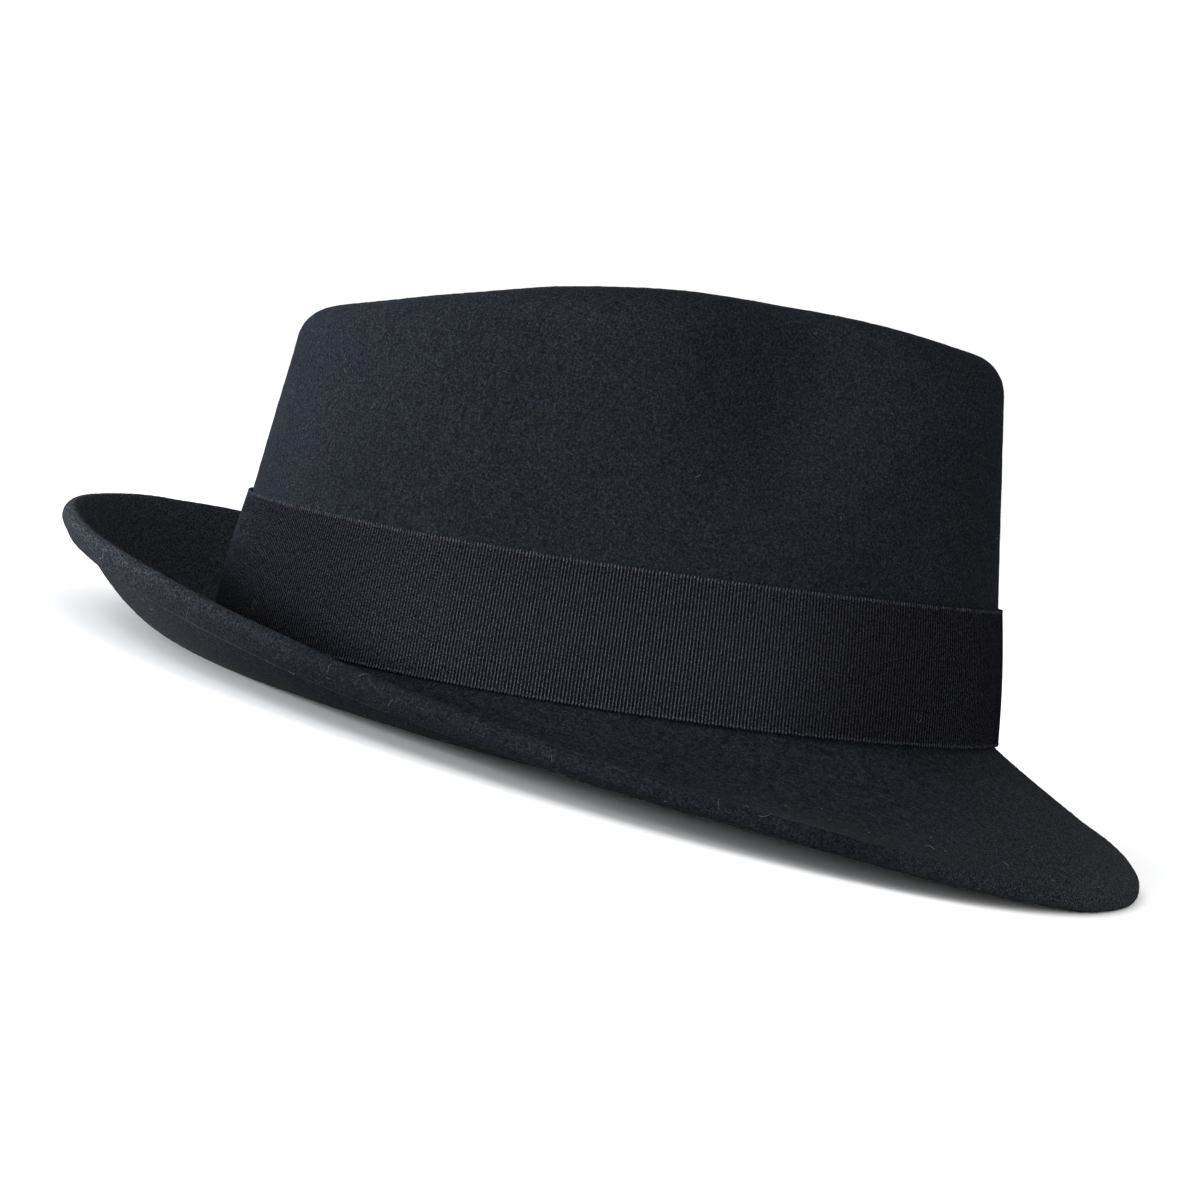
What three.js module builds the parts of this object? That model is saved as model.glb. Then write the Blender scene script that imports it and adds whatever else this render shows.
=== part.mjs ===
import * as THREE from 'three';

// Fedora of black wool felt with a grosgrain ribbon round the crown.
// Sizes are in millimetres and angles in degrees, unless a name says otherwise.
// The hat is laid out on its brim break: x to the wearer's left, y to the back, z up,
// with a turn of 0 at the front, 90 at the wearer's left and 180 at the back.
// It is then tilted back into the pose in which it rests on its own brim.

// Felt sheet
const FELT_THICKNESS = 2.2;

// Crown outline at its foot
const CROWN_FRONT = 111.9;
const CROWN_REAR = 98.2;
const CROWN_HALF_WIDTH = 84;
const OUTLINE_POWER = 1.965;

// How far the crown wall leans inwards by the time it reaches the ridge
const FRONT_LEAN = 11.3;
const SIDE_LEAN = 9;
const REAR_LEAN = 10.7;

// Ridge of the crown and its rounded shoulder
// Columns: front, front quarter, side, rear quarter, rear
const RIDGE_HEIGHT = [100, 102.9, 98.8, 89.2, 86.8];
// Columns: front, side, rear
const SHOULDER_RADIUS = [11.1, 12, 9.3];

// Teardrop dent along the top of the crown
const CREASE_FRONT = 50;
const CREASE_REAR = 58;
// Columns: front, side, rear
const CREASE_HEIGHT = [79, 76, 72];
const DENT_FLOOR_SHARE = 0.22;

// Finger pinches on both sides of the crown's front, which fade out faster to the rear
// They start at a share of the wall's height and are deepest at the ridge
const PINCH_DEPTH = 20;
const PINCH_Y = -65;
const PINCH_FRONT_LENGTH = 46;
const PINCH_REAR_LENGTH = 21;
const PINCH_START = 0.35;

// Brim: how far it reaches past the crown's foot and how high its edge stands
// Columns: front, side, rear
const BREAK_RISE = [0, -1.7, 0.8];
// Columns: front, front quarter, side, rear quarter, rear
const BRIM_REACH = [41, 52.9, 50, 44, 34.5];
const EDGE_RISE = [-28.1, -17.2, 1.4, 21.4, 28.5];
const BREAK_ANGLE = [-33.9, -29.8, -33.5, -30.8, -4.8];
// Columns: front, side, rear
const EDGE_ANGLE = [-42.7, 47.5, 51];
const BREAK_RADIUS = 2.5;
const CURVE_HANDLE = 0.35;

// Edge folded under and pressed into a narrow welt
const EDGE_THICKNESS = 4.7;
const WELT_WIDTH = 4.8;
const RAW_EDGE_BEVEL = 0.6;
// Shares of the welt's width: where its bevel starts, and how far the bevel runs past it
const BEVEL_START = 0.1;
const BEVEL_RUN = 0.04;
// Shares of the brim and of the dent where the single-layer underside starts and ends
const UNDERSIDE_START = 0.8;
const UNDERSIDE_END = 0.14;

// Grosgrain ribbon
const RIBBON_WIDTH = 34.1;
const RIBBON_THICKNESS = 0.8;
const RIBBON_FOOT = 1.9;
const RIBBON_GAP = 0.3;
const RIBBON_BELLY = 0.5;
// The ribbon's end laps over its start at the wearer's left
const LAP_FROM = 80;
const LAP_FULL = 85;
const LAP_END = 95;
const LAP_STEP = 0.3;

// Resting pose
const REST_TILT = 6.85;
const REST_PRESS = 1;

// Fineness of the surfaces
const TURN_STEPS = 72;
const RIBBON_ROWS = 4;
const DELTA = 1e-3;

const FULL_TURN = 2 * Math.PI;
const QUARTER_TURN = Math.PI / 2;
const radians = THREE.MathUtils.degToRad;

// A smooth value around the hat, even about its middle, through a table's columns
function around(columns) {
  const last = columns.length - 1;
  const waves = columns.map((_, order) => {
    let sum = 0;
    columns.forEach((value, station) => {
      const weight = station % last === 0 ? 0.5 : 1;
      sum += weight * value * Math.cos((Math.PI * order * station) / last);
    });
    return (sum * (order % last === 0 ? 1 : 2)) / last;
  });
  return (turn) => waves.reduce((sum, wave, order) => sum + wave * Math.cos(order * turn), 0);
}

const ridgeHeight = around(RIDGE_HEIGHT);
const shoulderRadius = around(SHOULDER_RADIUS);
const leanAround = around([FRONT_LEAN, SIDE_LEAN, REAR_LEAN]);
const creaseHeight = around(CREASE_HEIGHT);
const breakRise = around(BREAK_RISE);
const brimReach = around(BRIM_REACH);
const edgeRise = around(EDGE_RISE);
const breakAngle = around(BREAK_ANGLE);
const edgeAngle = around(EDGE_ANGLE);

// Ease from 0 to 1 with level ends
function ease(value) {
  const share = THREE.MathUtils.clamp(value, 0, 1);
  return share * share * (3 - 2 * share);
}

function signedPower(value, power) {
  return Math.sign(value) * Math.abs(value) ** power;
}

// Plan of the crown wall at a height share, 0 at the foot and 1 at the ridge
function crownPlan(turn, height) {
  const facesFront = Math.cos(turn) > 0;
  const length = facesFront ? CROWN_FRONT - FRONT_LEAN * height : CROWN_REAR - REAR_LEAN * height;
  const halfWidth = CROWN_HALF_WIDTH - SIDE_LEAN * height;
  const y = -length * signedPower(Math.cos(turn), 2 / OUTLINE_POWER);
  const pinchLength = y < PINCH_Y ? PINCH_FRONT_LENGTH : PINCH_REAR_LENGTH;
  const nearPinch = Math.exp(-(((y - PINCH_Y) / pinchLength) ** 2));
  const pinch = PINCH_DEPTH * nearPinch * ease((height - PINCH_START) / (1 - PINCH_START));
  const x = (halfWidth - pinch) * signedPower(Math.sin(turn), 2 / OUTLINE_POWER);
  return new THREE.Vector2(x, y);
}

// Lean of the crown wall from the vertical
function wallLean(turn) {
  return Math.atan2(leanAround(turn), ridgeHeight(turn) - shoulderRadius(turn));
}

// The crown's plan at the ridge, drawn in by a distance
function insetRidge(turn, inset) {
  const plan = crownPlan(turn, 1);
  return plan.multiplyScalar(1 - inset / plan.length());
}

// Each surface below runs from share 0 to share 1, from the crease out to the brim's edge

function crease(turn) {
  const length = Math.cos(turn) > 0 ? CREASE_FRONT : CREASE_REAR;
  return new THREE.Vector3(0, -length * Math.cos(turn), creaseHeight(turn));
}

function crownTop(turn, share) {
  const ridge = insetRidge(turn, shoulderRadius(turn) * Math.cos(wallLean(turn)));
  const floor = crease(turn);
  const climb = ease((share - DENT_FLOOR_SHARE) / (1 - DENT_FLOOR_SHARE));
  return new THREE.Vector3(
    THREE.MathUtils.lerp(floor.x, ridge.x, share),
    THREE.MathUtils.lerp(floor.y, ridge.y, share),
    THREE.MathUtils.lerp(floor.z, ridgeHeight(turn), climb),
  );
}

function shoulder(turn, share) {
  const lean = wallLean(turn);
  const angle = (QUARTER_TURN - lean) * share;
  const radius = shoulderRadius(turn);
  const plan = insetRidge(turn, radius * (Math.cos(lean) - Math.sin(angle)));
  const z = ridgeHeight(turn) - radius * (1 - Math.cos(angle));
  return new THREE.Vector3(plan.x, plan.y, z);
}

function wallTop(turn) {
  return ridgeHeight(turn) - shoulderRadius(turn) * (1 - Math.sin(wallLean(turn)));
}

function wallFoot(turn) {
  return breakRise(turn) + BREAK_RADIUS;
}

function crownWall(turn, share) {
  const plan = crownPlan(turn, 1 - share);
  const z = THREE.MathUtils.lerp(wallTop(turn), wallFoot(turn), share);
  return new THREE.Vector3(plan.x, plan.y, z);
}

// A point past the crown's foot, square to its outline
function beyondFoot(turn, distance, z) {
  const plan = crownPlan(turn, 0);
  const along = crownPlan(turn + DELTA, 0).sub(crownPlan(turn - DELTA, 0)).normalize();
  return new THREE.Vector3(plan.x + along.y * distance, plan.y - along.x * distance, z);
}

// The rounded break between crown and brim, as a distance past the foot and a height
function breakProfile(turn, share) {
  const angle = (QUARTER_TURN + radians(breakAngle(turn))) * share;
  const distance = BREAK_RADIUS * (1 - Math.cos(angle));
  return new THREE.Vector2(distance, wallFoot(turn) - BREAK_RADIUS * Math.sin(angle));
}

function brimBreak(turn, share) {
  const profile = breakProfile(turn, share);
  return beyondFoot(turn, profile.x, profile.y);
}

// The brim's profile is one cubic curve from the break to the edge
function brimCurve(turn) {
  const start = breakProfile(turn, 1);
  const end = new THREE.Vector2(brimReach(turn), edgeRise(turn));
  const handle = CURVE_HANDLE * start.distanceTo(end);
  const leave = radians(breakAngle(turn));
  const arrive = radians(edgeAngle(turn));
  const afterStart = new THREE.Vector2(Math.cos(leave), Math.sin(leave)).multiplyScalar(handle);
  const beforeEnd = new THREE.Vector2(Math.cos(arrive), Math.sin(arrive)).multiplyScalar(-handle);
  return new THREE.CubicBezierCurve(start, afterStart.add(start), beforeEnd.add(end), end);
}

function brim(turn, share) {
  const profile = brimCurve(turn).getPoint(share);
  return beyondFoot(turn, profile.x, profile.y);
}

// The last stretch of the brim, as wide as the welt
function weltStretch(turn, share) {
  const curve = brimCurve(turn);
  const edgeSpeed = 3 * curve.v3.distanceTo(curve.v2);
  return brim(turn, 1 - ((1 - share) * WELT_WIDTH) / edgeSpeed);
}

// Unit vectors of a surface: along it towards the edge, and out of the felt's upper side
function directions(surface, turn, share) {
  const along = surface(turn, share + DELTA).sub(surface(turn, share - DELTA));
  const sideways = surface(turn + DELTA, share).sub(surface(turn - DELTA, share));
  const upper = new THREE.Vector3().crossVectors(along, sideways).normalize();
  return { along: along.normalize(), upper };
}

function beneath(surface, turn, share, depth) {
  const { upper } = directions(surface, turn, share);
  return surface(turn, share).addScaledVector(upper, -depth);
}

// Half round over the folded edge, from the brim's upper side to the welt
function edgeFold(turn, share) {
  const { along, upper } = directions(brim, turn, 1);
  const radius = EDGE_THICKNESS / 2;
  const centre = brim(turn, 1).addScaledVector(upper, -radius);
  centre.addScaledVector(upper, radius * Math.cos(Math.PI * share));
  return centre.addScaledVector(along, radius * Math.sin(Math.PI * share));
}

// Evenly spaced stations of the profile on one surface, from one share of it towards another
// A station with a depth lies that far beneath the surface
function stations(surface, count, from, to, depth) {
  return Array.from({ length: count }, (_, step) => {
    const share = THREE.MathUtils.lerp(from, to, step / count);
    return (turn) => (depth > 0 ? beneath(surface, turn, share, depth) : surface(turn, share));
  });
}

const lowerCrease = (turn) => crease(turn).add(new THREE.Vector3(0, 0, -FELT_THICKNESS));
const rawEdge = (turn) => beneath(weltStretch, turn, 0, EDGE_THICKNESS - RAW_EDGE_BEVEL);
const rawEdgeFoot = (turn) => beneath(weltStretch, turn, -BEVEL_RUN, FELT_THICKNESS);

// The felt's profile, from the crease over the outside to the edge, and back inside
const FELT_PROFILE = [
  ...stations(crownTop, 8, 0, 1, 0),
  ...stations(shoulder, 5, 0, 1, 0),
  ...stations(crownWall, 7, 0, 1, 0),
  ...stations(brimBreak, 3, 0, 1, 0),
  ...stations(brim, 9, 0, 1, 0),
  ...stations(edgeFold, 5, 0, 1, 0),
  ...stations(weltStretch, 2, 1, BEVEL_START, EDGE_THICKNESS),
  rawEdge,
  rawEdgeFoot,
  ...stations(brim, 7, UNDERSIDE_START, 0, FELT_THICKNESS),
  ...stations(brimBreak, 2, 1, 0, FELT_THICKNESS),
  ...stations(crownWall, 6, 1, 0, FELT_THICKNESS),
  ...stations(shoulder, 4, 1, 0, FELT_THICKNESS),
  ...stations(crownTop, 6, 1, UNDERSIDE_END, FELT_THICKNESS),
  lowerCrease,
];

// A point on the ribbon, at a share of its width from the top edge down
function ribbonPoint(turn, share, lift) {
  const z = breakRise(turn) + RIBBON_FOOT + RIBBON_WIDTH * (1 - share);
  const wallShare = (wallTop(turn) - z) / (wallTop(turn) - wallFoot(turn));
  return beneath(crownWall, turn, wallShare, -lift);
}

// The second layer of ribbon rises over the first and ends in a step
function lapRise(turn) {
  const angle = THREE.MathUtils.radToDeg(turn);
  const climb = ease((angle - LAP_FROM) / (LAP_FULL - LAP_FROM));
  return angle <= LAP_END ? RIBBON_THICKNESS * climb : 0;
}

function ribbonProfile() {
  const shares = Array.from({ length: RIBBON_ROWS + 1 }, (_, row) => row / RIBBON_ROWS);
  const belly = (share) => RIBBON_BELLY * Math.sin(Math.PI * share);
  const outer = shares.map((share) => (turn) => {
    const lift = RIBBON_GAP + RIBBON_THICKNESS + belly(share) + lapRise(turn);
    return ribbonPoint(turn, share, lift);
  });
  const inner = shares.map((share) => (turn) => {
    return ribbonPoint(turn, share, RIBBON_GAP + belly(share));
  });
  return [...outer, ...inner.reverse()];
}

// Tilts the hat back and lowers it, so that its own weight presses the felt flat on the ground
function settle(point, drop, shift) {
  const settled = point.clone().applyAxisAngle(new THREE.Vector3(1, 0, 0), -radians(REST_TILT));
  settled.y -= shift;
  settled.z = Math.max(settled.z - drop, 0);
  return settled;
}

function evenTurns() {
  return Array.from({ length: TURN_STEPS }, (_, step) => (FULL_TURN * step) / TURN_STEPS);
}

// Sweeps a profile round the hat as a closed mesh
// A profile folded on the crease starts and ends there, where left and right sides meet
function sweptBody(profile, turns, foldedOnCrease, place) {
  const count = turns.length;
  const last = profile.length - 1;
  const positions = [];
  profile.forEach((station) => {
    turns.forEach((turn) => positions.push(...place(station(turn)).toArray()));
  });
  const vertex = (row, column) => {
    const wrapped = column % count;
    const meetsMirror = foldedOnCrease && row % last === 0;
    return row * count + (meetsMirror ? Math.min(wrapped, count - wrapped) : wrapped);
  };
  const triangles = [];
  const bands = foldedOnCrease ? last : last + 1;
  for (let row = 0; row < bands; row += 1) {
    const below = foldedOnCrease ? row + 1 : (row + 1) % (last + 1);
    for (let column = 0; column < count; column += 1) {
      const a = vertex(row, column);
      const b = vertex(below, column);
      const c = vertex(below, column + 1);
      const d = vertex(row, column + 1);
      triangles.push(a, b, c, a, c, d);
    }
  }
  const geometry = new THREE.BufferGeometry();
  geometry.setAttribute('position', new THREE.Float32BufferAttribute(positions, 3));
  geometry.setIndex(triangles);
  geometry.computeVertexNormals();
  return geometry;
}

// Where the tilted hat's lowest point and middle lie
function restingPlace() {
  const box = new THREE.Box3();
  const tiltAxis = new THREE.Vector3(1, 0, 0);
  evenTurns().forEach((turn) => {
    FELT_PROFILE.forEach((station) => {
      box.expandByPoint(station(turn).applyAxisAngle(tiltAxis, -radians(REST_TILT)));
    });
  });
  return { drop: box.min.z + REST_PRESS, shift: (box.min.y + box.max.y) / 2 };
}

const { drop, shift } = restingPlace();
const place = (point) => settle(point, drop, shift);

function feltBody() {
  const geometry = sweptBody(FELT_PROFILE, evenTurns(), true, place);
  const material = new THREE.MeshStandardMaterial({ color: 0x2a2d35, roughness: 0.95, metalness: 0 });
  const mesh = new THREE.Mesh(geometry, material);
  mesh.name = 'felt_body';
  return mesh;
}

function hatBand() {
  const lapEdge = radians(LAP_END + LAP_STEP);
  const turns = [...evenTurns(), lapEdge].sort((a, b) => a - b);
  const geometry = sweptBody(ribbonProfile(), turns, false, place);
  const material = new THREE.MeshStandardMaterial({ color: 0x26262c, roughness: 0.7, metalness: 0 });
  const mesh = new THREE.Mesh(geometry, material);
  mesh.name = 'hat_band';
  return mesh;
}

const fedora = new THREE.Group();
fedora.add(feltBody(), hatBand());

export default fedora;
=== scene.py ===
import math
import bpy
import numpy as np
from mathutils import Matrix, Vector


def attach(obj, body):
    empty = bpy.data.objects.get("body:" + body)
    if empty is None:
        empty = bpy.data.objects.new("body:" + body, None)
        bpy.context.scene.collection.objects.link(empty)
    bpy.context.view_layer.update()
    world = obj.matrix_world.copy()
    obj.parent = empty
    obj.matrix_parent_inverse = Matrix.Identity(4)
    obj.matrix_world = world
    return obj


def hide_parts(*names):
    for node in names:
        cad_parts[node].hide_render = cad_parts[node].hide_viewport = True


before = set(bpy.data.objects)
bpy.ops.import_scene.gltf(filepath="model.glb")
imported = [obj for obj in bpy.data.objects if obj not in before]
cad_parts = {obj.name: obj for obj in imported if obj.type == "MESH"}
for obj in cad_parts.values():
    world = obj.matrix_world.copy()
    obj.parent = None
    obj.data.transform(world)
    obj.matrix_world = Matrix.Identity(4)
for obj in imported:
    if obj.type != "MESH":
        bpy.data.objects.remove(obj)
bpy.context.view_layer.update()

# Sizes are in metres, and angles in degrees unless a name says otherwise
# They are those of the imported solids, laid out on the brim break before the hat is tilted to rest
MM = 0.001

FELT_THICKNESS = 2.2 * MM

CROWN_FRONT = 111.9 * MM
CROWN_REAR = 98.2 * MM
CROWN_HALF_WIDTH = 84 * MM
OUTLINE_POWER = 1.965
FRONT_LEAN = 11.3 * MM
SIDE_LEAN = 9 * MM
REAR_LEAN = 10.7 * MM

# Columns of the tables: front, side, rear, or front, front quarter, side, rear quarter, rear
RIDGE_HEIGHT = [100 * MM, 102.9 * MM, 98.8 * MM, 89.2 * MM, 86.8 * MM]
SHOULDER_RADIUS = [11.1 * MM, 12 * MM, 9.3 * MM]
CREASE_FRONT = 50 * MM
CREASE_REAR = 58 * MM
CREASE_HEIGHT = [79 * MM, 76 * MM, 72 * MM]
DENT_FLOOR_SHARE = 0.22
PINCH_DEPTH = 20 * MM
PINCH_Y = -65 * MM
PINCH_FRONT_LENGTH = 46 * MM
PINCH_REAR_LENGTH = 21 * MM
PINCH_START = 0.35

BREAK_RISE = [0, -1.7 * MM, 0.8 * MM]
BRIM_REACH = [41 * MM, 52.9 * MM, 50 * MM, 44 * MM, 34.5 * MM]
EDGE_RISE = [-28.1 * MM, -17.2 * MM, 1.4 * MM, 21.4 * MM, 28.5 * MM]
BREAK_ANGLE = [-33.9, -29.8, -33.5, -30.8, -4.8]
EDGE_ANGLE = [-42.7, 47.5, 51]
BREAK_RADIUS = 2.5 * MM
CURVE_HANDLE = 0.35
EDGE_THICKNESS = 4.7 * MM
WELT_WIDTH = 4.8 * MM
RAW_EDGE_BEVEL = 0.6 * MM

RIBBON_WIDTH = 34.1 * MM
RIBBON_THICKNESS = 0.8 * MM
RIBBON_FOOT = 1.9 * MM
RIBBON_GAP = 0.3 * MM
RIBBON_BELLY = 0.5 * MM
# The lapped end of the ribbon, by its turn round the hat in degrees
LAP_FROM = 80
LAP_FULL = 85
LAP_END = 95
LAP_STEP = 0.12

REST_TILT = 6.85
REST_PRESS = 1 * MM

# Step to each side, in turn or in share, that tells a surface's directions
DELTA = 1e-3
# Keeps a vector without length from being divided by zero
TINY = 1e-12


# A smooth value around the hat, even about its middle, through a table's columns
def around(columns):
    last = len(columns) - 1
    stations = np.arange(last + 1)
    weights = np.where(stations % last == 0, 0.5, 1.0) * np.array(columns)
    waves = []
    for order in stations:
        total = np.sum(weights * np.cos(np.pi * order * stations / last))
        waves.append(total * (1 if order % last == 0 else 2) / last)
    return lambda turn: sum(wave * np.cos(order * turn) for order, wave in enumerate(waves))


ridge_height = around(RIDGE_HEIGHT)
shoulder_radius = around(SHOULDER_RADIUS)
lean_around = around([FRONT_LEAN, SIDE_LEAN, REAR_LEAN])
crease_height = around(CREASE_HEIGHT)
break_rise = around(BREAK_RISE)
brim_reach = around(BRIM_REACH)
edge_rise = around(EDGE_RISE)
break_angle = around(BREAK_ANGLE)
edge_angle = around(EDGE_ANGLE)


def ease(value):
    share = np.clip(value, 0, 1)
    return share * share * (3 - 2 * share)


def signed_power(value, power):
    return np.sign(value) * np.abs(value) ** power


def point(x, y, z):
    return np.stack(np.broadcast_arrays(x, y, z), axis=-1)


# Plan of the crown wall at a height share, 0 at the foot and 1 at the ridge
def crown_plan(turn, height):
    front = CROWN_FRONT - FRONT_LEAN * height
    rear = CROWN_REAR - REAR_LEAN * height
    length = np.where(np.cos(turn) > 0, front, rear)
    half_width = CROWN_HALF_WIDTH - SIDE_LEAN * height
    y = -length * signed_power(np.cos(turn), 2 / OUTLINE_POWER)
    pinch_length = np.where(y < PINCH_Y, PINCH_FRONT_LENGTH, PINCH_REAR_LENGTH)
    near_pinch = np.exp(-(((y - PINCH_Y) / pinch_length) ** 2))
    pinch = PINCH_DEPTH * near_pinch * ease((height - PINCH_START) / (1 - PINCH_START))
    x = (half_width - pinch) * signed_power(np.sin(turn), 2 / OUTLINE_POWER)
    return x, y


def wall_lean(turn):
    return np.arctan2(lean_around(turn), ridge_height(turn) - shoulder_radius(turn))


def inset_ridge(turn, inset):
    x, y = crown_plan(turn, 1)
    scale = 1 - inset / np.hypot(x, y)
    return x * scale, y * scale


# Each surface runs from share 0 to share 1, from the crease out to the brim's edge
def crown_top(turn, share):
    ridge_x, ridge_y = inset_ridge(turn, shoulder_radius(turn) * np.cos(wall_lean(turn)))
    crease_y = -np.where(np.cos(turn) > 0, CREASE_FRONT, CREASE_REAR) * np.cos(turn)
    climb = ease((share - DENT_FLOOR_SHARE) / (1 - DENT_FLOOR_SHARE))
    floor_z = crease_height(turn)
    z = floor_z + (ridge_height(turn) - floor_z) * climb
    return point(ridge_x * share, crease_y + (ridge_y - crease_y) * share, z)


def shoulder(turn, share):
    lean = wall_lean(turn)
    angle = (np.pi / 2 - lean) * share
    radius = shoulder_radius(turn)
    x, y = inset_ridge(turn, radius * (np.cos(lean) - np.sin(angle)))
    return point(x, y, ridge_height(turn) - radius * (1 - np.cos(angle)))


def wall_top(turn):
    return ridge_height(turn) - shoulder_radius(turn) * (1 - np.sin(wall_lean(turn)))


def wall_foot(turn):
    return break_rise(turn) + BREAK_RADIUS


def crown_wall(turn, share):
    x, y = crown_plan(turn, 1 - share)
    return point(x, y, wall_top(turn) + (wall_foot(turn) - wall_top(turn)) * share)


def beyond_foot(turn, distance, z):
    x, y = crown_plan(turn, 0)
    ahead_x, ahead_y = crown_plan(turn + DELTA, 0)
    behind_x, behind_y = crown_plan(turn - DELTA, 0)
    along_x, along_y = ahead_x - behind_x, ahead_y - behind_y
    scale = distance / np.hypot(along_x, along_y)
    return point(x + along_y * scale, y - along_x * scale, z)


def break_profile(turn, share):
    angle = (np.pi / 2 + np.radians(break_angle(turn))) * share
    return BREAK_RADIUS * (1 - np.cos(angle)), wall_foot(turn) - BREAK_RADIUS * np.sin(angle)


def brim_break(turn, share):
    distance, z = break_profile(turn, share)
    return beyond_foot(turn, distance, z)


def brim_handle(turn):
    start_x, start_z = break_profile(turn, 1)
    return CURVE_HANDLE * np.hypot(brim_reach(turn) - start_x, edge_rise(turn) - start_z)


def brim(turn, share):
    start_x, start_z = break_profile(turn, 1)
    end_x, end_z = brim_reach(turn), edge_rise(turn)
    handle = brim_handle(turn)
    leave, arrive = np.radians(break_angle(turn)), np.radians(edge_angle(turn))
    rest = 1 - share
    weights = rest**3, 3 * share * rest**2, 3 * share**2 * rest, share**3
    xs = start_x, start_x + handle * np.cos(leave), end_x - handle * np.cos(arrive), end_x
    zs = start_z, start_z + handle * np.sin(leave), end_z - handle * np.sin(arrive), end_z
    distance = sum(weight * x for weight, x in zip(weights, xs))
    return beyond_foot(turn, distance, sum(weight * z for weight, z in zip(weights, zs)))


def welt_stretch(turn, share):
    return brim(turn, 1 - (1 - share) * WELT_WIDTH / (3 * brim_handle(turn)))


def unit(vectors):
    length = np.linalg.norm(vectors, axis=-1, keepdims=True)
    return vectors / np.maximum(length, TINY)


def directions(surface, turn, share):
    along = surface(turn, share + DELTA) - surface(turn, share - DELTA)
    sideways = surface(turn + DELTA, share) - surface(turn - DELTA, share)
    return unit(along), unit(np.cross(along, sideways))


def beneath(surface, turn, share, depth):
    upper = directions(surface, turn, share)[1]
    return surface(turn, share) - upper * np.expand_dims(depth, -1)


def edge_fold(turn, share):
    along, upper = directions(brim, turn, 1)
    radius = EDGE_THICKNESS / 2
    angle = np.expand_dims(np.pi * share, -1)
    centre = brim(turn, 1) - upper * radius
    return centre + radius * (upper * np.cos(angle) + along * np.sin(angle))


# Tilts the hat back into its resting pose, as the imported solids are
def tilted(points):
    tilt = math.radians(REST_TILT)
    y = points[..., 1] * math.cos(tilt) + points[..., 2] * math.sin(tilt)
    z = points[..., 2] * math.cos(tilt) - points[..., 1] * math.sin(tilt)
    return point(points[..., 0], y, z)


# How the hat lies when it rests: tilted, centred and pressed down on the ground
class RestingPlace:
    def __init__(self, felt_points):
        settled = tilted(felt_points).reshape(-1, 3)
        self.drop = settled[:, 2].min() + REST_PRESS
        self.shift = (settled[:, 1].min() + settled[:, 1].max()) / 2

    # Where a point of the laid-out hat comes to lie, with the felt pressed flat on the ground
    def settle(self, points):
        settled = tilted(points) - np.array([0, self.shift, self.drop])
        settled[..., 2] = np.maximum(settled[..., 2], 0)
        return settled

    def matrix(self):
        turn = Matrix.Rotation(-math.radians(REST_TILT), 4, "X")
        return Matrix.Translation((0, -self.shift, -self.drop)) @ turn


# Shortest and longest wave, as shares of the wavelength that is asked for
RIPPLE_SPREAD = 0.7, 1.5


# Gentle unevenness of a surface: many small waves in random directions
def ripples(points, wavelength, count, seed):
    rng = np.random.default_rng(seed)
    ways = unit(rng.normal(size=(count, 3)))
    lengths = wavelength * rng.uniform(*RIPPLE_SPREAD, count)
    phases = rng.uniform(0, 2 * np.pi, count)
    flat = points.reshape(-1, 3)
    total = np.zeros(len(flat))
    for direction, length, phase in zip(ways, lengths, phases):
        total += np.sin(flat @ direction * (2 * np.pi / length) + phase)
    return (total / math.sqrt(count / 2)).reshape(points.shape[:-1])


def grid_normals(grid):
    along = np.gradient(grid, axis=0)
    sideways = np.roll(grid, -1, axis=1) - np.roll(grid, 1, axis=1)
    return unit(np.cross(along, sideways))


def new_object(name, vertices, faces, smooth=True):
    mesh = bpy.data.meshes.new(name)
    mesh.from_pydata(vertices.tolist(), [], faces)
    mesh.polygons.foreach_set("use_smooth", [smooth] * len(mesh.polygons))
    mesh.update()
    obj = bpy.data.objects.new(name, mesh)
    bpy.context.scene.collection.objects.link(obj)
    return obj


# Quads of a grid swept round the hat
# A profile folded on the crease starts and ends there, where left and right sides meet
def swept_faces(row_count, column_count, folded_on_crease):
    rows = np.arange(row_count - 1 if folded_on_crease else row_count)
    columns = np.arange(column_count)
    row, column = np.meshgrid(rows, columns, indexing="ij")

    def vertex(row, column):
        wrapped = column % column_count
        row = row % row_count
        mirrored = np.minimum(wrapped, column_count - wrapped)
        on_crease = folded_on_crease & ((row == 0) | (row == row_count - 1))
        return row * column_count + np.where(on_crease, mirrored, wrapped)

    corners = vertex(row, column), vertex(row + 1, column)
    corners += vertex(row + 1, column + 1), vertex(row, column + 1)
    return np.stack(corners, axis=-1).reshape(-1, 4)


def without_unused(vertices, faces):
    used, compact = np.unique(faces, return_inverse=True)
    return vertices[used], compact.reshape(faces.shape).tolist()


# Felt: crown and brim in one, with the edge folded under and pressed
FELT_COLUMNS = 440
# Columns: height, wavelength, number of waves, seed
FELT_RIPPLES = [(0.05 * MM, 34 * MM, 24, 3), (0.03 * MM, 2.6 * MM, 60, 5)]
# Rows of the felt's grid from the outer half of the brim over its edge to the underside
RIM_ROWS = slice(100, 146)


def shares(count, start, end):
    return np.linspace(start, end, count, endpoint=False)[:, None]


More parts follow.
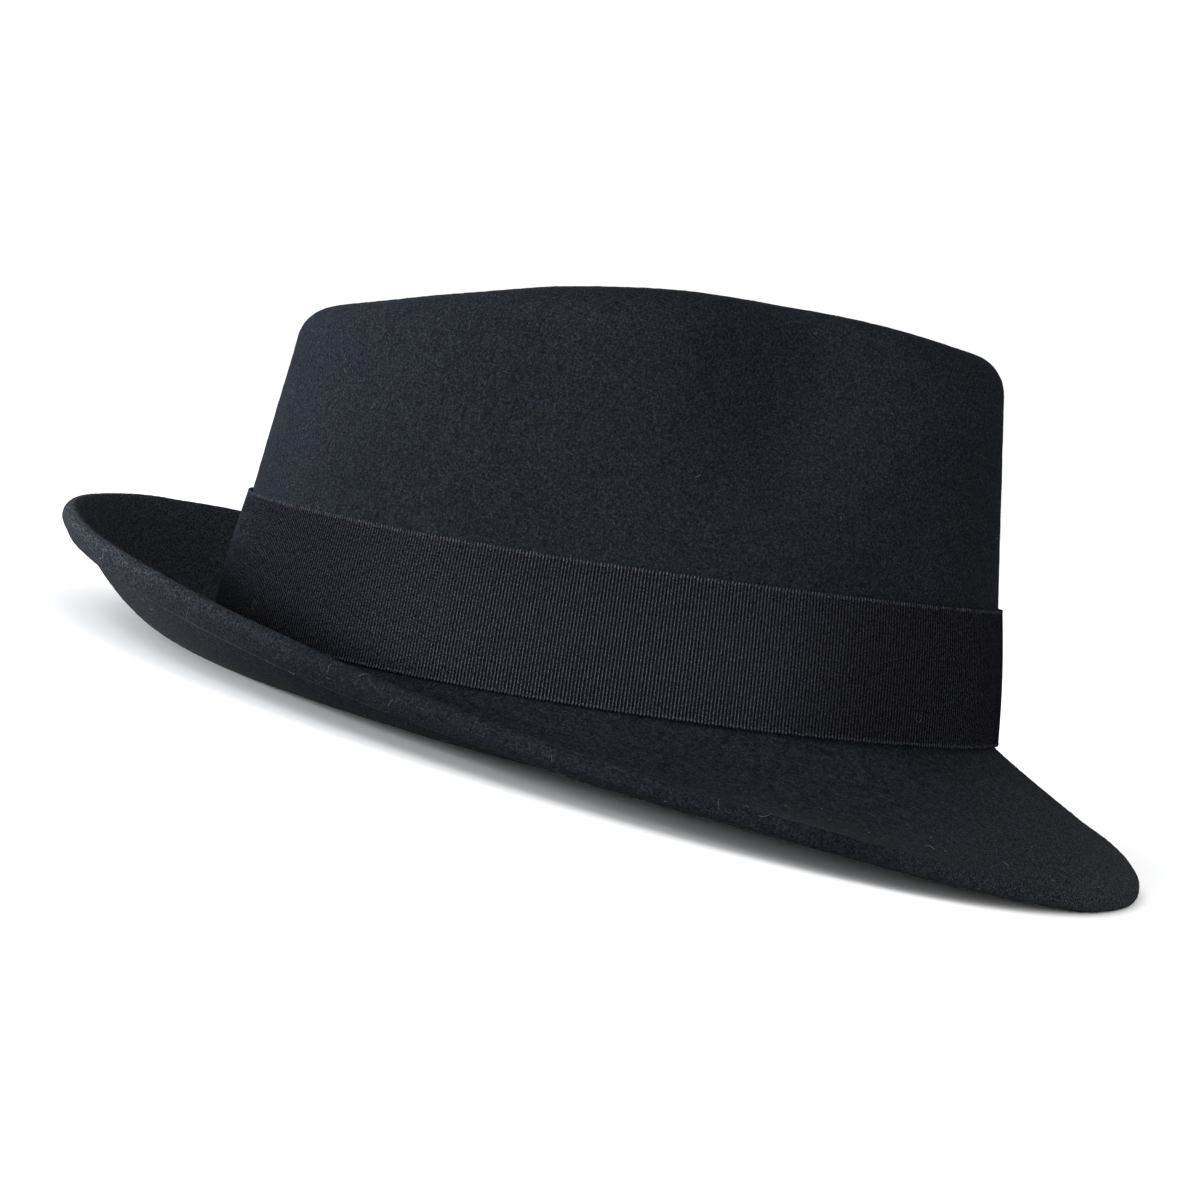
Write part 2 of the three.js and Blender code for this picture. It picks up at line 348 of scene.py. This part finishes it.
# Out from the crease over the brim's edge and back beneath, where each surface takes its own
# number of rows between two of its shares
def felt_grid(turns):
    single, double = FELT_THICKNESS, EDGE_THICKNESS
    crease_start = crown_top(turns, shares(1, 0, 1))
    crease_end = crease_start - np.array([0, 0, single])
    return np.concatenate([
        crease_start,
        crown_top(turns, shares(28, 0.03, 1)),
        shoulder(turns, shares(12, 0, 1)),
        crown_wall(turns, shares(32, 0, 1)),
        brim_break(turns, shares(7, 0, 1)),
        brim(turns, shares(38, 0, 1)),
        edge_fold(turns, shares(11, 0, 1)),
        beneath(welt_stretch, turns, shares(6, 1, 0.1), double),
        beneath(welt_stretch, turns, shares(1, 0, 1), double - RAW_EDGE_BEVEL),
        beneath(welt_stretch, turns, shares(1, -0.04, 1), single),
        beneath(brim, turns, shares(22, 0.84, 0), single),
        beneath(brim_break, turns, shares(4, 1, 0), single),
        beneath(crown_wall, turns, shares(16, 1, 0), single),
        beneath(shoulder, turns, shares(8, 1, 0), single),
        beneath(crown_top, turns, shares(14, 1, 0.08), single),
        crease_end,
    ])


def even_turns(count):
    return np.arange(count) * (2 * np.pi / count)


def make_felt(grid, resting):
    lift = sum(height * ripples(grid, *wave) for height, *wave in FELT_RIPPLES)
    lift[[0, -1]] = 0
    vertices = resting.settle(grid + grid_normals(grid) * lift[..., None]).reshape(-1, 3)
    faces = swept_faces(*grid.shape[:2], folded_on_crease=True)
    felt = new_object("felt", *without_unused(vertices, faces))
    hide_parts("felt_body")
    return felt


# Grosgrain ribbon: rounded ribs across its width, with a beaded edge where they turn back
RIB_PITCH = 0.845 * MM
RIB_DEPTH = 0.2 * MM
COLUMNS_PER_RIB = 6
BEAD_WIDTH = 0.5 * MM
BEAD_RISE = 0.1 * MM
SCALLOP = 0.22 * MM
ROWS_BETWEEN_BEADS = 9
RIBBON_SAMPLES = 4001
RIBS_ACROSS = RIBBON_WIDTH / RIB_PITCH


def ribbon_point(turn, share, lift):
    z = break_rise(turn) + RIBBON_FOOT + RIBBON_WIDTH * (1 - share)
    wall_share = (wall_top(turn) - z) / (wall_top(turn) - wall_foot(turn))
    return beneath(crown_wall, turn, wall_share, -lift)


# Turns at even steps of length along the ribbon, and the length all round
def ribbon_turns():
    fine = np.linspace(0, 2 * np.pi, RIBBON_SAMPLES)
    middle = ribbon_point(fine, 0.5, RIBBON_GAP)
    steps = np.linalg.norm(np.diff(middle, axis=0), axis=-1)
    walked = np.concatenate([[0], np.cumsum(steps)])
    count = round(walked[-1] / RIB_PITCH) * COLUMNS_PER_RIB
    return np.interp(np.arange(count) * walked[-1] / count, walked, fine), walked[-1]


def lap_rise(turn):
    angle = np.degrees(turn)
    climb = ease((angle - LAP_FROM) / (LAP_FULL - LAP_FROM))
    fall = np.clip((LAP_END + LAP_STEP - angle) / LAP_STEP, 0, 1)
    return RIBBON_THICKNESS * climb * fall


def make_ribbon(resting, turns):
    crest = np.abs(np.cos(np.pi * np.arange(len(turns)) / COLUMNS_PER_RIB))
    bead = BEAD_WIDTH / RIBBON_WIDTH
    middle = np.linspace(2 * bead, 1 - 2 * bead, ROWS_BETWEEN_BEADS)
    across = np.concatenate([[0, bead / 2, bead], middle, [1 - bead, 1 - bead / 2, 1]])[:, None]
    reach = SCALLOP * crest / RIBBON_WIDTH
    scalloped = across + np.where(across == 1, reach, 0) - np.where(across == 0, reach, 0)
    on_bead = (across == bead / 2) | (across == 1 - bead / 2)
    belly = RIBBON_BELLY * np.sin(np.pi * across)
    lift = RIBBON_GAP + RIBBON_THICKNESS + belly + lap_rise(turns)
    outer = ribbon_point(turns, scalloped, lift + BEAD_RISE * on_bead - RIB_DEPTH * (1 - crest))
    inner_across = np.array([[1.0], [0.5], [0.0]])
    inner_belly = RIBBON_BELLY * np.sin(np.pi * inner_across)
    grid = np.concatenate([outer, ribbon_point(turns, inner_across, RIBBON_GAP + inner_belly)])
    faces = swept_faces(*grid.shape[:2], folded_on_crease=False)
    ribbon = new_object("ribbon", resting.settle(grid).reshape(-1, 3), faces.tolist())
    add_ribbon_map(ribbon, np.concatenate([across, inner_across])[:, 0], len(turns))
    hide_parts("hat_band")
    return ribbon


# Places along and across the ribbon, both counted in ribs, for the weave of its material
def add_ribbon_map(ribbon, across, columns):
    loops = np.zeros(len(ribbon.data.loops), dtype=np.int64)
    ribbon.data.loops.foreach_get("vertex_index", loops)
    per_face = (loops % columns).reshape(-1, 4)
    seam = (per_face.max(axis=1) - per_face.min(axis=1)) > columns // 2
    wrapped = per_face + np.where(seam[:, None] & (per_face < columns // 2), columns, 0)
    ribs_along = wrapped.ravel() / COLUMNS_PER_RIB
    places = np.stack([ribs_along, across[loops // columns] * RIBS_ACROSS], axis=-1)
    layer = ribbon.data.uv_layers.new(name="weave")
    layer.data.foreach_set("uv", places.astype(np.float32).ravel())


# Fibres, lint and thread: fine closed strands, each along its own row of points
STRAND_SIDES = 3
# How thick a strand is at its ends, as a share of its middle
STRAND_TIP = 0.4
# Crossed with a strand's own direction, this one gives its sides
STRAND_REFERENCE = 0.3, 0.2, 0.93
# Shortest and longest strand, as shares of the length that is asked for
LENGTH_SPREAD = 0.4, 1.4
CURL_SPREAD = 0.5
# How deep a strand's ends dip into the felt, as a share of its arch
STRAND_SINK = 0.25
NAP_COUNT = 6500
RIM_NAP_COUNT = 2500
NAP_LENGTH = 1.5 * MM
NAP_RADIUS = 0.016 * MM
NAP_ARCH = 0.1 * MM
NAP_POINTS = 4
LINT_COUNT = 160
RIM_LINT_COUNT = 260
LINT_LENGTH = 1.3 * MM
RIM_LINT_LENGTH = 2.6 * MM
LINT_RADIUS = 0.035 * MM
LINT_ARCH = 0.2 * MM
LINT_POINTS = 9
NAP_SEED, LINT_SEED, RIM_LINT_SEED, RIM_NAP_SEED = 11, 12, 13, 14


def make_strands(name, routes, radius):
    count, steps = routes.shape[:2]
    tangents = unit(np.gradient(routes, axis=1))
    side = unit(np.cross(tangents, STRAND_REFERENCE))
    up = np.cross(side, tangents)
    thickness = np.full((steps, 1, 1), radius)
    thickness[[0, -1]] *= STRAND_TIP
    angles = np.arange(STRAND_SIDES)[:, None] * (2 * np.pi / STRAND_SIDES)
    rings = side[:, :, None] * np.cos(angles) + up[:, :, None] * np.sin(angles)
    vertices = (routes[:, :, None] + thickness * rings).reshape(-1, 3)
    numbers = np.arange(count * steps * STRAND_SIDES).reshape(count, steps, STRAND_SIDES)
    turned = np.roll(numbers, -1, axis=2)
    walls = np.stack([numbers[:, :-1], turned[:, :-1], turned[:, 1:], numbers[:, 1:]], axis=-1)
    caps = numbers[:, 0, ::-1].tolist() + numbers[:, -1].tolist()
    faces = walls.reshape(-1, 4).tolist() + caps
    return new_object(name, vertices, faces)


# Short curved rows of points that lie on a swept surface, scattered evenly by its area
def strand_routes(grid, count, points, length, arch, seed):
    rng = np.random.default_rng(seed)
    corner, ahead, across = grid[:-1], grid[1:], np.roll(grid, -1, axis=1)[:-1]
    areas = np.linalg.norm(np.cross(ahead - corner, across - corner), axis=-1)
    cells = rng.choice(areas.size, count, p=(areas / areas.sum()).ravel())
    row, column = np.unravel_index(cells, areas.shape)
    normal = grid_normals(grid)[row, column]
    random_way = rng.normal(size=(count, 3))
    forward = unit(np.cross(normal, random_way))
    sideways = np.cross(normal, forward)
    lengths = length * rng.uniform(*LENGTH_SPREAD, count)
    curls = rng.normal(0, CURL_SPREAD, count)
    share = np.linspace(-0.5, 0.5, points)[None, :, None]
    run = lengths[:, None, None] * share
    bend = (curls * lengths)[:, None, None] * share**2
    rise = arch * (np.cos(np.pi * share) - STRAND_SINK)
    middle = (corner + (ahead - corner) * rng.random(corner.shape[:2] + (1,)))[row, column]
    flat = middle[:, None] + forward[:, None] * run + sideways[:, None] * bend
    return flat + normal[:, None] * rise


# Strands all over the felt, and more of them round the rim
def scattered_routes(grid, counts, lengths, points, arch, seeds):
    return np.concatenate([
        strand_routes(part, count, points, length, arch, seed)
        for part, count, length, seed in zip((grid, grid[RIM_ROWS]), counts, lengths, seeds)
    ])


# The thread tacks that hold the ribbon: turn in degrees, and height above the break of the brim
TACKS = [(333.2, 8.6 * MM), (226.3, 9.3 * MM)]
TACK_SIZE = 1.1 * MM
TACK_RADIUS = 0.09 * MM
# From and to, in half turns of the thread's curl
TACK_CURL = -0.4, 1.5
TACK_POINTS = 10
# How far the middle of the thread stands off the ribbon, as a share of its radius
TACK_STAND = 0.6


def tack_routes():
    routes = []
    curl = np.linspace(*TACK_CURL, TACK_POINTS) * np.pi
    for turn, height in TACKS:
        turn = np.radians(turn)
        share = 1 - (height - RIBBON_FOOT) / RIBBON_WIDTH
        sway = np.cos(curl) * TACK_SIZE / CROWN_FRONT
        drop = np.sin(curl) * TACK_SIZE / RIBBON_WIDTH
        belly = RIBBON_BELLY * np.sin(np.pi * share)
        lift = RIBBON_GAP + RIBBON_THICKNESS + belly + TACK_RADIUS * TACK_STAND
        routes.append(ribbon_point(turn + sway, share + drop, lift))
    return np.array(routes)


# Sockets of a mix node for colours, whose names aren't its own
MIX_FIRST, MIX_SECOND = 6, 7
MIX_RESULT = 2


# Builds one material: each helper takes outputs of nodes and returns the output of a new one
class Shader:
    def __init__(self, name):
        self.material = bpy.data.materials.new(name)
        self.material.use_nodes = True
        self.tree = self.material.node_tree
        self.tree.nodes.clear()
        self.surface = self.node("ShaderNodeBsdfPrincipled")
        output = self.node("ShaderNodeOutputMaterial")
        self.link(self.surface.outputs["BSDF"], output, "Surface")
        self.places = self.node("ShaderNodeTexCoord").outputs

    def node(self, kind, **settings):
        made = self.tree.nodes.new(kind)
        for key, value in settings.items():
            setattr(made, key, value)
        return made

    def link(self, source, target, socket):
        self.tree.links.new(source, target.inputs[socket])

    def set_surface(self, values):
        for socket, value in values.items():
            self.surface.inputs[socket].default_value = value

    def noise(self, size, detail, stretch=(1, 1, 1), turn=(0, 0, 0), places="Object"):
        mapping = self.node("ShaderNodeMapping")
        mapping.inputs["Scale"].default_value = stretch
        mapping.inputs["Rotation"].default_value = turn
        self.link(self.places[places], mapping, "Vector")
        made = self.node("ShaderNodeTexNoise")
        made.inputs["Scale"].default_value = 1 / size
        made.inputs["Detail"].default_value = detail
        self.link(mapping.outputs["Vector"], made, "Vector")
        return made.outputs["Fac"]

    # One axis of the places or directions on the surface, as a share of the way from start to end
    def share_of(self, places, axis, start, end):
        split = self.node("ShaderNodeSeparateXYZ")
        self.link(self.places[places], split, "Vector")
        made = self.node("ShaderNodeMapRange")
        made.inputs["From Min"].default_value = start
        made.inputs["From Max"].default_value = end
        self.link(split.outputs[axis], made, "Value")
        return made.outputs["Result"]

    def ramp(self, source, stops):
        made = self.node("ShaderNodeValToRGB")
        while len(made.color_ramp.elements) < len(stops):
            made.color_ramp.elements.new(0.5)
        for element, (position, colour) in zip(made.color_ramp.elements, stops):
            element.position = position
            element.color = (*colour, 1)
        self.link(source, made, "Fac")
        return made.outputs["Color"]

    def mix(self, blend, factor, first, second):
        made = self.node("ShaderNodeMix", data_type="RGBA", blend_type=blend)
        made.inputs["Factor"].default_value = factor
        self.link(first, made, MIX_FIRST)
        self.link(second, made, MIX_SECOND)
        return made.outputs[MIX_RESULT]

    def product(self, first, *others):
        for other in others:
            first = self.mix("MULTIPLY", 1, first, other)
        return first

    # From a source towards a plain colour, by a share that is itself a source
    def towards(self, colour, share, source):
        made = self.node("ShaderNodeMix", data_type="RGBA")
        self.link(share, made, "Factor")
        self.link(source, made, MIX_FIRST)
        made.inputs[MIX_SECOND].default_value = (*colour, 1)
        return made.outputs[MIX_RESULT]

    # Two bumps, the finer one on top of the coarser one, each with its source, height and strength
    def bumps(self, coarse, fine):
        below = None
        for source, distance, strength in (coarse, fine):
            made = self.node("ShaderNodeBump")
            made.inputs["Distance"].default_value = distance
            made.inputs["Strength"].default_value = strength
            self.link(source, made, "Height")
            if below is not None:
                self.link(below, made, "Normal")
            below = made.outputs["Normal"]
        self.link(below, self.surface, "Normal")


def grey(level):
    return (level,) * 3


WHITE = grey(1)
BLACK = grey(0)
RISING = [(0, BLACK), (1, WHITE)]
FALLING = [(0, WHITE), (1, BLACK)]
# Most of a noise lies between these two values
LOW, HIGH = 0.3, 0.7

SPECKLE_SIZE = 0.5 * MM
HUE_SIZE = 0.9 * MM
BRUSHED_SIZE = 1.7 * MM
MOTTLED_SIZE = 4.5 * MM
CLOUD_SIZE = 28 * MM
FELT_TONES = [
    (0.30, (0.0040, 0.0046, 0.0057)),
    (0.52, (0.0077, 0.0088, 0.0110)),
    (0.74, (0.0160, 0.0182, 0.0223)),
]
HUE_GAINS = [(0.35, (0.93, 1.03, 0.88)), (0.65, (1.06, 0.97, 1.14))]
BRUSHED_GAINS = [(0.34, grey(0.76)), (0.66, grey(1.27))]
MOTTLED_GAINS = [(LOW, grey(0.94)), (HIGH, grey(1.06))]
CLOUD_GAINS = [(LOW, grey(0.95)), (HIGH, grey(1.05))]

# The hairs of the felt lie in three directions, given by how they stretch and turn the noise
HAIR_SIZE = 0.5 * MM
HAIR_STRETCH = 0.22
HAIR_WAYS = [
    ((1, HAIR_STRETCH, 1), (0.4, 0.2, 0.5)),
    ((HAIR_STRETCH, 1, 1), (0.9, -0.5, 0.2)),
    ((1, 1, HAIR_STRETCH), (-0.3, 0.8, 1.1)),
]
SECOND_HAIR_SHARE = 0.5
THIRD_HAIR_SHARE = 0.34
HAIR_GAINS = [(0.36, grey(0.62)), (0.64, grey(1.45))]
# Height and strength
HAIR_BUMP = 0.2 * MM, 0.5
SPECKLE_BUMP = 0.12 * MM, 0.4

# The brim is brushed where it is level, and a little dusty and lighter towards both ends, partly
# painted light where its front and its rear underside are lit from below and at grazing angles
# Both fade out between these heights, just above the brim
FADE_FROM = 30 * MM
FADE_END = 42 * MM
# A lighter tone that is partly dust and partly painted light, where the brim is lit from below and
# at grazing angles
DUST_AND_LIGHT_COLOUR = (0.050, 0.054, 0.062)
DUST_AND_LIGHT_SIZE = 0.42 * MM
DUST_AND_LIGHT_SCATTER = [(0.46, BLACK), (0.72, WHITE)]
# Shares from the front end of the brim to its rear end
BRIM_FRONT = -145 * MM
BRIM_REAR = 145 * MM
FRONT_DUST_AND_LIGHT = [(0, WHITE), (0.17, BLACK)]
REAR_DUST_AND_LIGHT = [(0.6, BLACK), (0.82, WHITE)]
# Shares from a surface that faces down to one that faces up; the rear's dust and painted light
# change with the way a surface faces
REAR_DUST_AND_LIGHT_BY_SIDE = [(0.5, grey(0.5)), (0.66, grey(0.9))]
STEEP = [(0.72, WHITE), (0.88, BLACK)]
FELT_SURFACE = {
    "Roughness": 1,
    "Specular IOR Level": 0,
    "Sheen Weight": 0.009,
    "Sheen Roughness": 0.3,
}


def felt_material():
    shader = Shader("felt")
    speckle = shader.noise(SPECKLE_SIZE, detail=3)
    hairs = [shader.noise(HAIR_SIZE, 2, stretch, turn) for stretch, turn in HAIR_WAYS]
    hair_tone = shader.mix("MIX", SECOND_HAIR_SHARE, hairs[0], hairs[1])
    hair_tone = shader.mix("MIX", THIRD_HAIR_SHARE, hair_tone, hairs[2])
    along = shader.share_of("Object", "Y", BRIM_FRONT, BRIM_REAR)
    upwards = shader.share_of("Object", "Z", FADE_FROM, FADE_END)
    upturned = shader.share_of("Normal", "Z", -1, 1)

    high = shader.ramp(upwards, RISING)
    smooth = shader.mix("ADD", 1, shader.ramp(upturned, STEEP), high)
    brushed = shader.ramp(shader.noise(BRUSHED_SIZE, detail=3), BRUSHED_GAINS)
    colour = shader.product(
        shader.ramp(speckle, FELT_TONES),
        shader.ramp(hair_tone, HAIR_GAINS),
        shader.ramp(shader.noise(CLOUD_SIZE, detail=3), CLOUD_GAINS),
        shader.ramp(shader.noise(MOTTLED_SIZE, detail=2), MOTTLED_GAINS),
        shader.ramp(shader.noise(HUE_SIZE, detail=1), HUE_GAINS),
        shader.towards(WHITE, smooth, brushed),
    )

    # The lighter tone at both ends of the brim is partly dust and partly painted light
    rear_dust_and_light = shader.product(
        shader.ramp(along, REAR_DUST_AND_LIGHT), shader.ramp(upturned, REAR_DUST_AND_LIGHT_BY_SIDE)
    )
    dust_and_light = shader.product(
        shader.mix("ADD", 1, shader.ramp(along, FRONT_DUST_AND_LIGHT), rear_dust_and_light),
        shader.ramp(upwards, FALLING),
        shader.ramp(shader.noise(DUST_AND_LIGHT_SIZE, detail=2), DUST_AND_LIGHT_SCATTER),
    )
    shader.link(shader.towards(DUST_AND_LIGHT_COLOUR, dust_and_light, colour), shader.surface, "Base Color")
    shader.bumps((hair_tone, *HAIR_BUMP), (speckle, *SPECKLE_BUMP))
    shader.set_surface(FELT_SURFACE)
    return shader.material


# The sizes of the ribbon's noise count in ribs, as its weave map does
# Crest, flank and groove of each rib: the darker flanks and grooves are painted shade
RIB_TONES_AND_GROOVE_SHADE = [
    (0, (0.0097, 0.0100, 0.0131)),
    (0.35, (0.0056, 0.0058, 0.0075)),
    (0.8, (0.0022, 0.0022, 0.0028)),
]
# One period of the wave for each rib, which darkens the grooves with painted shade
RIB_WAVE_SCALE = math.pi / 10
THREAD_SIZE = 0.5
THREAD_STRETCH = (1, 0.35, 1)
THREAD_GAINS = [(LOW, grey(0.5)), (HIGH, grey(1.5))]
THREAD_BUMP = 0.05 * MM, 0.6
FLECK_SIZE = 0.3
FLECK_STRETCH = (1, 0.6, 1)
# Lighter flecks of thread, partly painted glints on the ribs
FLECK_AND_GLINT_GAINS = [(0.4, grey(0.6)), (0.72, grey(3.2))]
FLECK_BUMP = 0.05 * MM, 0.5
# The selvages are lighter, up to the first share of the ribbon's width and fading to the second
SELVAGE_GAIN = grey(2)
SELVAGE_WIDTH, SELVAGE_END = 0.017, 0.022
SELVAGE_GAINS = [
    (0, SELVAGE_GAIN), (SELVAGE_WIDTH, SELVAGE_GAIN), (SELVAGE_END, WHITE),
    (1 - SELVAGE_END, WHITE), (1 - SELVAGE_WIDTH, SELVAGE_GAIN), (1, SELVAGE_GAIN),
]
FLECK_GLOSS = [(0.4, grey(0.08)), (0.72, grey(0.85))]
RIB_GLOSS = [(0.1, WHITE), (0.7, grey(0.15))]
RIBBON_SURFACE = {"Roughness": 0.38, "Specular Tint": (0.80, 0.82, 1, 1)}


def ribbon_material():
    shader = Shader("ribbon")
    wave = shader.node("ShaderNodeTexWave", wave_type="BANDS", bands_direction="X")
    wave.inputs["Scale"].default_value = RIB_WAVE_SCALE
    shader.link(shader.places["UV"], wave, "Vector")
    rib = wave.outputs["Fac"]
    threads = shader.noise(THREAD_SIZE, detail=2, stretch=THREAD_STRETCH, places="UV")
    flecks = shader.noise(FLECK_SIZE, detail=1, stretch=FLECK_STRETCH, places="UV")
    colour = shader.product(
        # painted shade in the grooves between the ribs
        shader.ramp(rib, RIB_TONES_AND_GROOVE_SHADE),
        shader.ramp(threads, THREAD_GAINS),
        # flecks of thread, partly painted glints
        shader.ramp(flecks, FLECK_AND_GLINT_GAINS),
        shader.ramp(shader.share_of("UV", "Y", 0, RIBS_ACROSS), SELVAGE_GAINS),
    )
    gloss = shader.product(shader.ramp(flecks, FLECK_GLOSS), shader.ramp(rib, RIB_GLOSS))
    shader.link(colour, shader.surface, "Base Color")
    shader.link(gloss, shader.surface, "Specular IOR Level")
    shader.bumps((threads, *THREAD_BUMP), (flecks, *FLECK_BUMP))
    shader.set_surface(RIBBON_SURFACE)
    return shader.material


NAP_COLOUR = (0.020, 0.022, 0.028)
LINT_COLOUR = (0.12, 0.13, 0.145)
THREAD_COLOUR = (0.050, 0.050, 0.060)
FIBRE_ROUGHNESS = 0.9
THREAD_ROUGHNESS = 0.7
PLAIN_GRAIN = 0.4 * MM
PLAIN_EVENNESS = 0.85


def plain_material(name, colour, roughness, evenness=PLAIN_EVENNESS):
    shader = Shader(name)
    dark = tuple(evenness * channel for channel in colour)
    grain = shader.noise(PLAIN_GRAIN, detail=2)
    tone = shader.ramp(grain, [(LOW, dark), (HIGH, colour)])
    shader.link(tone, shader.surface, "Base Color")
    shader.set_surface({"Roughness": roughness, "Specular IOR Level": 0})
    return shader.material


# Surroundings: pale floor, soft studio light and the camera
FLOOR_COLOUR = grey(0.97)
FLOOR_ROUGHNESS = 0.9
FLOOR_EVENNESS = 0.99
FLOOR_HALF_SIDE = 6
# Just under the hat, so that no faces share a plane
FLOOR_LEVEL = -0.2 * MM
WORLD_STRENGTH = 1.05
LIGHT_DISTANCE = 1.6
LIGHT_AIM = (0, 0, 50 * MM)
LIGHT_COLOUR = (0.94, 0.97, 1)
# Columns: name, degrees from the wearer's right towards the back, degrees above the floor, size,
# watts, whether it shows as a highlight on the ribbon
SOFTBOXES = [
    ("rear_softbox", 105, 1.1, (0.7, 0.06), 64, False),
    ("side_softbox", 48, 9, (0.4, 0.3), 29, False),
    ("camera_softbox", 0, 6, (0.4, 0.3), 8, True),
    ("high_softbox", 32, 38, (0.6, 0.6), 8, False),
]
# Angles in degrees, to the hat as it is laid out before it is tilted; lens and sensor in mm
CAMERA_AZIMUTH = 17.49
CAMERA_ELEVATION = 4.02
CAMERA_ROLL = 8.85
CAMERA_DISTANCE = 0.852
CAMERA_LENS = 96.7
CAMERA_AIM = (2.46 * MM, -2.69 * MM, 21.93 * MM)
SENSOR_WIDTH = 36


def make_floor():
    sides = np.array([[-1, -1], [1, -1], [1, 1], [-1, 1]]) * FLOOR_HALF_SIDE
    corners = point(sides[:, 0], sides[:, 1], FLOOR_LEVEL)
    floor = new_object("floor", corners, [[0, 1, 2, 3]], smooth=False)
    material = plain_material("floor", FLOOR_COLOUR, FLOOR_ROUGHNESS, FLOOR_EVENNESS)
    floor.data.materials.append(material)
    floor.visible_glossy = False


def area_light(name, place, size, power, highlight):
    data = bpy.data.lights.new(name, "AREA")
    data.shape = "RECTANGLE"
    data.size, data.size_y = size
    data.energy = power
    data.color = LIGHT_COLOUR
    light = bpy.data.objects.new(name, data)
    light.location = place
    light.visible_glossy = highlight
    aim = Vector(LIGHT_AIM) - Vector(place)
    light.rotation_euler = aim.to_track_quat("-Z", "Y").to_euler()
    bpy.context.scene.collection.objects.link(light)


def make_lights():
    world = bpy.data.worlds.new("studio")
    world.use_nodes = True
    background = world.node_tree.nodes["Background"]
    background.inputs["Color"].default_value = (*WHITE, 1)
    background.inputs["Strength"].default_value = WORLD_STRENGTH
    bpy.context.scene.world = world
    world.cycles_visibility.glossy = False
    for name, azimuth, elevation, size, power, highlight in SOFTBOXES:
        azimuth, elevation = math.radians(azimuth), math.radians(elevation)
        level = LIGHT_DISTANCE * math.cos(elevation)
        height = LIGHT_DISTANCE * math.sin(elevation)
        place = -level * math.cos(azimuth), level * math.sin(azimuth), height
        area_light(name, place, size, power, highlight)


def make_camera(resting):
    azimuth, elevation = math.radians(CAMERA_AZIMUTH), math.radians(CAMERA_ELEVATION)
    back = Vector((
        -math.cos(azimuth) * math.cos(elevation),
        -math.sin(azimuth) * math.cos(elevation),
        math.sin(elevation),
    ))
    eye = back * CAMERA_DISTANCE
    aim = (Vector(CAMERA_AIM) - eye).normalized()
    level = aim.cross(Vector((0, 0, 1))).normalized()
    upright = level.cross(aim)
    roll = math.radians(CAMERA_ROLL)
    right = level * math.cos(roll) + upright * math.sin(roll)
    up = right.cross(aim)
    axes = Matrix((right, up, -aim)).transposed().to_4x4()
    data = bpy.data.cameras.new("camera")
    data.lens = CAMERA_LENS
    data.sensor_width = SENSOR_WIDTH
    camera = bpy.data.objects.new("camera", data)
    camera.matrix_world = resting.matrix() @ Matrix.Translation(eye) @ axes
    bpy.context.scene.collection.objects.link(camera)
    bpy.context.scene.camera = camera


def finish_piece(obj, material):
    obj.data.materials.append(material)
    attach(obj, "root")


grid = felt_grid(even_turns(FELT_COLUMNS))
resting = RestingPlace(grid)
felt = make_felt(grid, resting)
weave_turns, ribbon_round = ribbon_turns()
ribbon = make_ribbon(resting, weave_turns)
nap_routes = scattered_routes(
    grid, (NAP_COUNT, RIM_NAP_COUNT), (NAP_LENGTH, NAP_LENGTH),
    NAP_POINTS, NAP_ARCH, (NAP_SEED, RIM_NAP_SEED),
)
nap = make_strands("felt_nap", resting.settle(nap_routes), NAP_RADIUS)
lint_routes = scattered_routes(
    grid, (LINT_COUNT, RIM_LINT_COUNT), (LINT_LENGTH, RIM_LINT_LENGTH),
    LINT_POINTS, LINT_ARCH, (LINT_SEED, RIM_LINT_SEED),
)
lint = make_strands("felt_lint", resting.settle(lint_routes), LINT_RADIUS)
tacks = make_strands("ribbon_tacks", resting.settle(tack_routes()), TACK_RADIUS)
finish_piece(felt, felt_material())
finish_piece(ribbon, ribbon_material())
finish_piece(nap, plain_material("felt_fibre", NAP_COLOUR, FIBRE_ROUGHNESS))
finish_piece(lint, plain_material("lint", LINT_COLOUR, FIBRE_ROUGHNESS))
finish_piece(tacks, plain_material("thread", THREAD_COLOUR, THREAD_ROUGHNESS))
make_floor()
make_lights()
make_camera(resting)
bpy.context.scene.view_settings.view_transform = "Standard"
